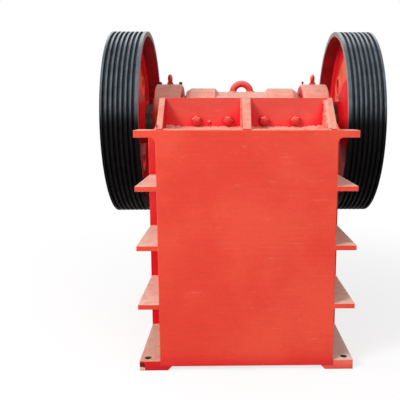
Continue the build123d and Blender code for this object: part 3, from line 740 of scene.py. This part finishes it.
def cornerWeld():   # the corner beside the right gusset is built up with weld metal
    look = heavyWeldLook
    wall, panel, ledge = wallLow.x, panelLow.y, ledgeTop
    foot, leg, swell = look["footLeg"], look["leg"], look["swell"]
    fall = (panelHigh.z - ledge) / (panel - plateLow.y)
    beads = []
    for row in look["rows"]:
        top = panelHigh.z - row * fall - leg * look["uprightDrop"]
        beads.append(weldBead((wall, panel - row, ledge), (wall, panel - row, top), leg, swell))
    slope = panelHigh.z - leg * look["slopeDrop"]   # the last bead follows the gusset's sloping edge
    beads.append(weldBead((wall, panel, slope), (wall, panel - (slope - ledge) / fall, ledge), leg, swell))
    beads.append(weldBead((-wall, panel, ledge), (wall, panel, ledge), foot, swell))
    for side in (-1, 1):
        for heap, reach in look["heap"]:
            end = (side * (wall - reach), panel, ledge)
            beads.append(weldBead((side * wall, panel, ledge), end, heap, swell))
    weld = joinPieces(beads)
    roughen(weld, look["lumps"], look["rough"])
    finishPiece(weld, "corner_weld", "frame", "heavyWeldPaint", 60)


def sideWelds(side, name):
    wall, reach = side * wallHigh.x, side * (ribReach - weldLook["short"])
    front, back, shoulder = plateHigh.y, wallHigh.y - weldLook["backGap"], capLow.y
    leg, thin = weldLook["leg"], weldLook["thinLeg"]
    ribs = [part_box(level + "_rib_right") for level in ("lower", "middle", "upper", "top")]
    floors = [flangeHigh.z] + [high.z for low, high in ribs[:3]]
    roofs = [low.z for low, high in ribs]
    runs = []
    for level in range(4):
        floorEnd, roofEnd = (back, back) if level < 3 else (shoulder, ribs[3][1].y)
        runs.append(((wall, front, floors[level]), (wall, floorEnd, floors[level]), leg))
        runs.append(((wall, front, roofs[level]), (wall, roofEnd, roofs[level]), leg))
    for upright, bays in (("front_uprights_right", 4), ("bearing_uprights_right", 3)):
        low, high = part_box(upright)
        for y in (low.y, high.y):
            for level in range(bays):
                runs.append(((wall, y, floors[level]), (wall, y, roofs[level]), leg))
                runs.append(((wall, y, floors[level]), (reach, y, floors[level]), thin))
                if level < 3:
                    runs.append(((wall, y, roofs[level]), (reach, y, roofs[level]), thin))
    runs.append(((wall, front, floors[0]), (wall, front, roofs[3] - weldLook["topGap"]), thin))
    weldSeams(name, runs)


rearRibThick = 0.04


def rearWelds():
    inner, leg = wallLow.x, weldLook["leg"]
    low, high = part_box("rear_wall")
    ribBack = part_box("rear_wall_ribs")[1].y - weldLook["backGap"]
    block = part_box("toggle_block")
    middle = (block[0].z + block[1].z) / 2
    runs = []
    for side in (-1, 1):
        for y in (low.y, high.y):
            runs.append(((side * inner, y, low.z), (side * inner, y, high.z), leg))
    for foot in (low.z, middle - rearRibThick / 2, high.z - rearRibThick):
        for z in (foot, foot + rearRibThick):
            if low.z < z < high.z:
                runs.append(((-inner, high.y, z), (inner, high.y, z), leg))
            for side in (-1, 1):
                runs.append(((side * inner, high.y, z), (side * inner, ribBack, z), leg))
    weldSeams("rear_welds", runs)


frontWelds()
cornerWeld()
sideWelds(1, "side_welds_right")
sideWelds(-1, "side_welds_left")
rearWelds()
print("welds laid")


# Hollow corners where the outer gussets meet the ears

earLook = {"radius": 0.04, "steps": 48}


def hollowCorner(side):   # a bar with a quarter round taken out of it
    radius = earLook["radius"]
    length = panelLow.y - plateLow.y
    middle = (side * (wallHigh.x + radius), plateLow.y + length / 2, ledgeTop + radius)
    bpy.ops.mesh.primitive_cylinder_add(
        vertices=earLook["steps"], radius=radius, depth=length, end_fill_type="NOTHING",
        rotation=(math.pi / 2, 0, 0),
    )
    corner = bpy.context.active_object
    bpy.ops.object.transform_apply(rotation=True)
    bpy.ops.object.mode_set(mode="EDIT")
    bpy.ops.mesh.select_mode(type="FACE")
    bpy.ops.mesh.select_all(action="DESELECT")
    mesh = bmesh.from_edit_mesh(corner.data)
    for face in mesh.faces:
        spot = face.calc_center_median()
        face.select_set(spot.x * side > 0 or spot.z > 0)
    bmesh.update_edit_mesh(corner.data)
    bpy.ops.mesh.delete(type="FACE")
    bpy.ops.mesh.select_all(action="SELECT")
    bpy.ops.mesh.extrude_region_move(TRANSFORM_OT_translate={"value": (0, 0, 0)})
    bpy.ops.transform.resize(value=(0, 1, 0), center_override=(-side * radius, 0, -radius))
    closeShell()
    return placePiece(corner, middle)


corners = joinPieces([hollowCorner(1), hollowCorner(-1)])
finishPiece(corners, "ear_corners", "frame", "heavyWeldPaint")
print("ear corners made")


# Nuts on the studs of the fixed jaw plate

jawNutLook = {
    "washer": 0.036, "washerThick": 0.005, "nut": 0.0315, "nutThick": 0.027,
    "stud": 0.017, "reach": 0.037, "pitch": 0.004, "inner": 0.118, "turns": (8, 34, -11, 21),
    "drop": (-0.242, 0.045), "dropRadius": 0.013,   # a drop of weld on the panel, above the ledge
    "dropShape": ((1.0, 0.0), (0.9, 0.4), (0.5, 0.75)),
}


def jawPlateBolts():
    low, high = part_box("jaw_plate_nuts")
    inner, outer = jawNutLook["inner"], high.x - jawNutLook["nut"]
    z = (low.z + high.z) / 2
    spots = zip((-outer, -inner, inner, outer), jawNutLook["turns"])
    places = [((x, panelLow.y, z), (0, -1, 0), turn) for x, turn in spots]
    (across, rise), radius = jawNutLook["drop"], jawNutLook["dropRadius"]
    drop = turnPiece([(radius * out, radius * up) for out, up in jawNutLook["dropShape"]], 12)
    placePiece(drop, (across, panelLow.y, ledgeTop + rise), (0, -1, 0))
    bolts = joinPieces([placeCopies(boltPiece(jawNutLook), places), drop])
    finishPiece(bolts, "jaw_plate_bolts", "frame", "nutPaint", 30, ["jaw_plate_nuts"])


jawPlateBolts()


# Bolts of the bearing caps

capBoltLook = {
    "washer": 0.039, "washerThick": 0.006, "nut": 0.0365, "nutThick": 0.034,
    "stud": 0.021, "reach": 0.078, "pitch": 0.005, "fromMiddle": 0.39, "inset": 0.052, "flange": 0.055,
    "upperTurn": 15, "lowerTurn": 11,
}


def capBolts(side, name):
    look = capBoltLook
    rows = (capLow.x + look["inset"], ribReach - look["inset"])
    spots = [(side * x, shaftY + way * look["fromMiddle"]) for x in rows for way in (-1, 1)]
    upper, lower = [], []
    for index, (x, y) in enumerate(spots):
        upper.append(((x, y, shaftZ + look["flange"]), (0, 0, 1), look["upperTurn"] * index))
        lower.append(((x, y, shaftZ - look["flange"]), (0, 0, -1), look["lowerTurn"] * index))
    headLook = dict(look, stud=0)
    bolts = joinPieces([placeCopies(boltPiece(look), upper), placeCopies(boltPiece(headLook), lower)])
    finishPiece(bolts, name, "frame", "castingPaint", 30)


capBolts(1, "cap_bolts_right")
capBolts(-1, "cap_bolts_left")


# Screws on the crowns of the caps

crownLook = {
    "wide": {"neck": 0.013, "head": 0.0145, "foot": 0.002, "top": 0.02, "spots": (-0.707, -0.531)},
    "small": {"neck": 0.005, "head": 0.0095, "foot": 0.008, "top": 0.024, "spots": (0.536,)},
    "sink": 0.004, "seat": 0.9, "chamfer": 0.003,
    "crown": ((1.0, 0.007), (0.8, 0.002), (0.45, 0.0)),   # share of the head, and depth below its top
}


def crownScrews():
    screws = []
    for look in (crownLook["wide"], crownLook["small"]):
        neck, head, foot, top = look["neck"], look["head"], look["foot"], look["top"]
        profile = [(neck, -crownLook["sink"]), (neck, foot), (head * crownLook["seat"], foot)]
        profile.append((head, foot + crownLook["chamfer"]))
        profile += [(head * share, top - down) for share, down in crownLook["crown"]]
        places = [((x, shaftY, capHigh.z), (0, 0, 1)) for x in look["spots"]]
        screws.append(placeCopies(turnPiece(profile, 16), places))
    finishPiece(joinPieces(screws), "crown_screws", "frame", "darkScrew")


crownScrews()


# Bolts round the outer bearing covers

coverBoltLook = {
    "washer": 0.017, "washerThick": 0.003, "nut": 0.0145, "nutThick": 0.01,
    "stud": 0, "circle": 0.205, "count": 8, "first": 22.5,
}


def circlePlaces(x, toward, radius, count, first=0.0):
    places = []
    for index in range(count):
        angle = math.radians(first) + index * 2 * math.pi / count
        spot = (x, shaftY + radius * math.cos(angle), shaftZ + radius * math.sin(angle))
        places.append((spot, (toward, 0, 0), index * boltShape["turnStep"]))
    return places


def coverBolts(side, name):
    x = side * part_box("bearing_covers_right")[1].x
    look = coverBoltLook
    places = circlePlaces(x, side, look["circle"], look["count"], look["first"])
    finishPiece(placeCopies(boltPiece(look), places), name, "frame", "castingPaint", 30)


coverBolts(1, "cover_bolts_right")
coverBolts(-1, "cover_bolts_left")


# Bolts of the cheek plates, on the outside of the side walls

cheekBoltLook = {
    "washer": 0.024, "washerThick": 0.003, "nut": 0.02, "nutThick": 0.018,
    "stud": 0.011, "reach": 0.028, "pitch": 0.003, "turnStep": 23,
    "depths": (-0.78, -0.62), "rows": (1.383, 1.018, 0.632),
}


def cheekBolts(side, name):
    look = cheekBoltLook
    spots = [(side * wallHigh.x, y, z) for y in look["depths"] for z in look["rows"]]
    places = [(spot, (side, 0, 0), look["turnStep"] * index) for index, spot in enumerate(spots)]
    finishPiece(placeCopies(boltPiece(look), places), name, "frame", "framePaint", 30)


cheekBolts(1, "cheek_bolts_right")
cheekBolts(-1, "cheek_bolts_left")
print("bolts and nuts placed")


# Cast details of the wheels

wheelLook = {
    "lipInner": 0.071, "lipOuter": 0.108, "lipRise": 0.014, "lipSides": 32, "lipSlope": 0.016,
    "lipEdge": ((0.0, 0.5), (0.004, 0.9), (0.01, 1.0)),   # outwards from the hole, and share of the rise
    "lipSink": 0.002, "holeGap": 0.0005, "margin": 0.001,
    "holeRadius": 0.075, "holeCircle": 0.495, "holes": 4, "firstHole": 41,
    "webInner": 0.926, "webThick": 0.045, "rimThick": 0.037, "steps": 96,
    "hollow": 0.03, "hollowSteps": 5,
}


def ringHollow():   # the rounded corner between web and rim, round the wheel's axis
    look = wheelLook
    radius, hollow = (rimHigh.z - rimLow.z) / 2 - look["rimThick"] + look["margin"], look["hollow"]
    profile = [(radius, 0)]
    for index in range(look["hollowSteps"] + 1):
        angle = math.pi / 2 * index / look["hollowSteps"]
        profile.append((radius - hollow + hollow * math.sin(angle), hollow - hollow * math.cos(angle)))
    return turnPiece(profile, look["steps"], hollow=True)


def wheelCasting(side, name):
    look = wheelLook
    inner = look["webInner"]
    outer = inner + look["webThick"]
    lipIn, lipOut, rise = look["lipInner"], look["lipOuter"], look["lipRise"]
    hole, middle, sink = look["holeRadius"] + look["holeGap"], -look["webThick"] / 2, look["lipSink"]
    lip = [(lipIn, middle)] + [(lipIn + out, rise * share) for out, share in look["lipEdge"]]
    lip += [(lipOut - look["lipSlope"], rise), (lipOut, 0), (lipOut, -sink), (hole, -sink), (hole, middle)]
    shells = []
    for face, way in ((inner, -side), (outer, side)):
        places = circlePlaces(side * face, way, look["holeCircle"], look["holes"], look["firstHole"])
        shells.append(placeCopies(turnPiece(lip, look["lipSides"], hollow=True), places))
        shells.append(placePiece(ringHollow(), (side * face, shaftY, shaftZ), (way, 0, 0)))
    holes = [spot for spot, toward, turn in places]

    def isSleeve(face):   # the walls of the holes get a deep red as painted shade
        away = min(math.hypot(face.center.y - y, face.center.z - z) for x, y, z in holes)
        return away < lipIn + look["margin"]

    casting = joinPieces(shells)
    finishPiece(casting, name, "shaft", "wheelPaint", 45)
    paintInside(casting, "shadedSleevePaint", isSleeve)


wheelCasting(1, "wheel_casting_right")
wheelCasting(-1, "wheel_casting_left")


# Plates that hold the wheels on the shaft

endPlateLook = {
    "radius": 0.13, "plate": 0.013, "circle": 0.085, "count": 6, "sides": 64,
    "groove": (0.062, 0.046), "slope": 0.004, "deep": 0.003,   # a shallow groove round the centre mark
    "mark": (0.012, 0.006), "markDeep": 0.004,
    "washer": 0.019, "washerThick": 0.002, "nut": 0.0155, "nutThick": 0.0095, "stud": 0,
}


def endPlates():
    look = endPlateLook
    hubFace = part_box("wheel_web_right")[1].x
    radius, plate, slope = look["radius"], look["plate"], look["slope"]
    bottom = plate - look["deep"]
    (outer, inner), (markOuter, markInner) = look["groove"], look["mark"]
    profile = [
        (radius, 0), (radius, bottom), (radius - slope, plate),
        (outer, plate), (outer - slope, bottom), (inner + slope, bottom), (inner, plate),
        (markOuter, plate), (markInner, plate - look["markDeep"]),
    ]
    shells = []
    for side in (-1, 1):
        place = (side * hubFace, shaftY, shaftZ)
        shells.append(placePiece(turnPiece(profile, look["sides"]), place, (side, 0, 0)))
        places = circlePlaces(side * (hubFace + plate), side, look["circle"], look["count"])
        shells.append(placeCopies(boltPiece(look), places))
    plates = joinPieces(shells)
    finishPiece(plates, "end_plates", "shaft", "wheelPaint", 30, ["wheel_end_plates"])


endPlates()
print("wheel details made")


# Spring and rod that hold the toggle in place

springLook = {"wire": 0.013, "turns": 6, "steps": 28, "sides": 12, "endSides": 36}


def coilSpring():
    look = springLook
    low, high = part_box("tension_spring")
    wire = look["wire"]
    radius, height = (high.z - low.z) / 2 - wire, high.y - low.y - 2 * wire
    bpy.ops.mesh.primitive_circle_add(
        vertices=look["sides"], radius=wire, location=(radius, 0, 0), rotation=(math.pi / 2, 0, 0)
    )
    spring = bpy.context.active_object
    bpy.ops.object.transform_apply(location=True, rotation=True)
    coil = spring.modifiers.new("coil", "SCREW")
    coil.iterations = look["turns"]
    coil.screw_offset = height / look["turns"]
    coil.steps = coil.render_steps = look["steps"]
    bpy.ops.object.modifier_apply(modifier="coil")
    bpy.ops.object.mode_set(mode="EDIT")
    closeShell()
    shells = [spring]
    for z in (0, height):   # the closed end turns
        bpy.ops.mesh.primitive_torus_add(
            major_radius=radius, minor_radius=wire, location=(0, 0, z),
            major_segments=look["endSides"], minor_segments=look["sides"],
        )
        bpy.ops.object.transform_apply(location=True)
        shells.append(bpy.context.active_object)
    spring = joinPieces(shells)
    middle = (low + high) / 2
    placePiece(spring, (middle.x, low.y + wire, middle.z), (0, 1, 0))
    finishPiece(spring, "coil_spring", "frame", "darkSteel", 50, ["tension_spring"])


rodLook = {
    "radius": 0.025, "thread": 0.3, "pitch": 0.006, "tip": 0.005, "sides": 24,
    "head": 0.85, "root": 0.9, "crest": 0.99, "end": 0.8,   # shares of the radius
    "washer": 0.085, "washerThick": 0.015, "washerEdge": 0.003, "washerSides": 48,
    "nut": 0.045, "chamfer": 0.1, "nuts": ((0.032, 12), (0.02, 31)),   # thickness and turn of each nut
}


def tensionRod():
    look = rodLook
    low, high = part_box("tension_rod")
    springLow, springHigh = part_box("tension_spring")
    z = (low.z + high.z) / 2
    radius, length, pitch = look["radius"], high.y - low.y, look["pitch"]
    height, root, crest = length - look["thread"], radius * look["root"], radius * look["crest"]
    profile = [(radius * look["head"], 0), (radius, look["tip"]), (radius, height)]
    while height + pitch < length - look["tip"]:
        profile += [(root, height + pitch / 2), (crest, height + pitch)]
        height += pitch
    profile.append((radius * look["end"], length))
    shells = [placePiece(turnPiece(profile, look["sides"]), (0, low.y, z), (0, 1, 0))]
    washer, thick, edge = look["washer"], look["washerThick"], look["washerEdge"]
    washerLine = [(washer - edge, 0), (washer, edge), (washer, thick - edge), (washer - edge, thick)]
    for y in (springLow.y - thick, springHigh.y):
        shells.append(placePiece(turnPiece(washerLine, look["washerSides"]), (0, y, z), (0, 1, 0)))
    y, nut = springHigh.y + thick, look["nut"]
    seat = nut * boltShape["seat"]
    for tall, spin in look["nuts"]:
        chamfer = tall * look["chamfer"]
        nutLine = [(seat, 0), (nut, chamfer), (nut, tall - chamfer), (seat, tall)]
        shells.append(placePiece(turnPiece(nutLine, 6), (0, y, z), (0, 1, 0), spin))
        y += tall
    finishPiece(joinPieces(shells), "spring_rod", "frame", "darkSteel", 30, ["tension_rod"])


coilSpring()
tensionRod()
print("spring and rod made")


# Weld collars round the feet of the lifting ring

ringWeldLook = {"collar": 0.03, "bead": 0.009, "spread": 0.078, "rough": 0.0015, "seed": 4}


def ringWelds():
    look = ringWeldLook
    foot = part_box("lifting_ring")[0].z
    collars = []
    for side in (-1, 1):
        bpy.ops.mesh.primitive_torus_add(
            major_radius=look["collar"], minor_radius=look["bead"], major_segments=28, minor_segments=10,
            location=(side * look["spread"], shaftY, foot),
        )
        bpy.ops.object.transform_apply(location=True)
        bpy.ops.object.mode_set(mode="EDIT")
        bpy.ops.mesh.select_all(action="SELECT")
        bpy.ops.transform.vertex_random(offset=look["rough"], seed=look["seed"] + side)
        bpy.ops.object.mode_set(mode="OBJECT")
        collars.append(bpy.context.active_object)
    finishPiece(joinPieces(collars), "ring_welds", "swing_jaw", "weldPaint", 60)


ringWelds()
print("lifting ring welded on")
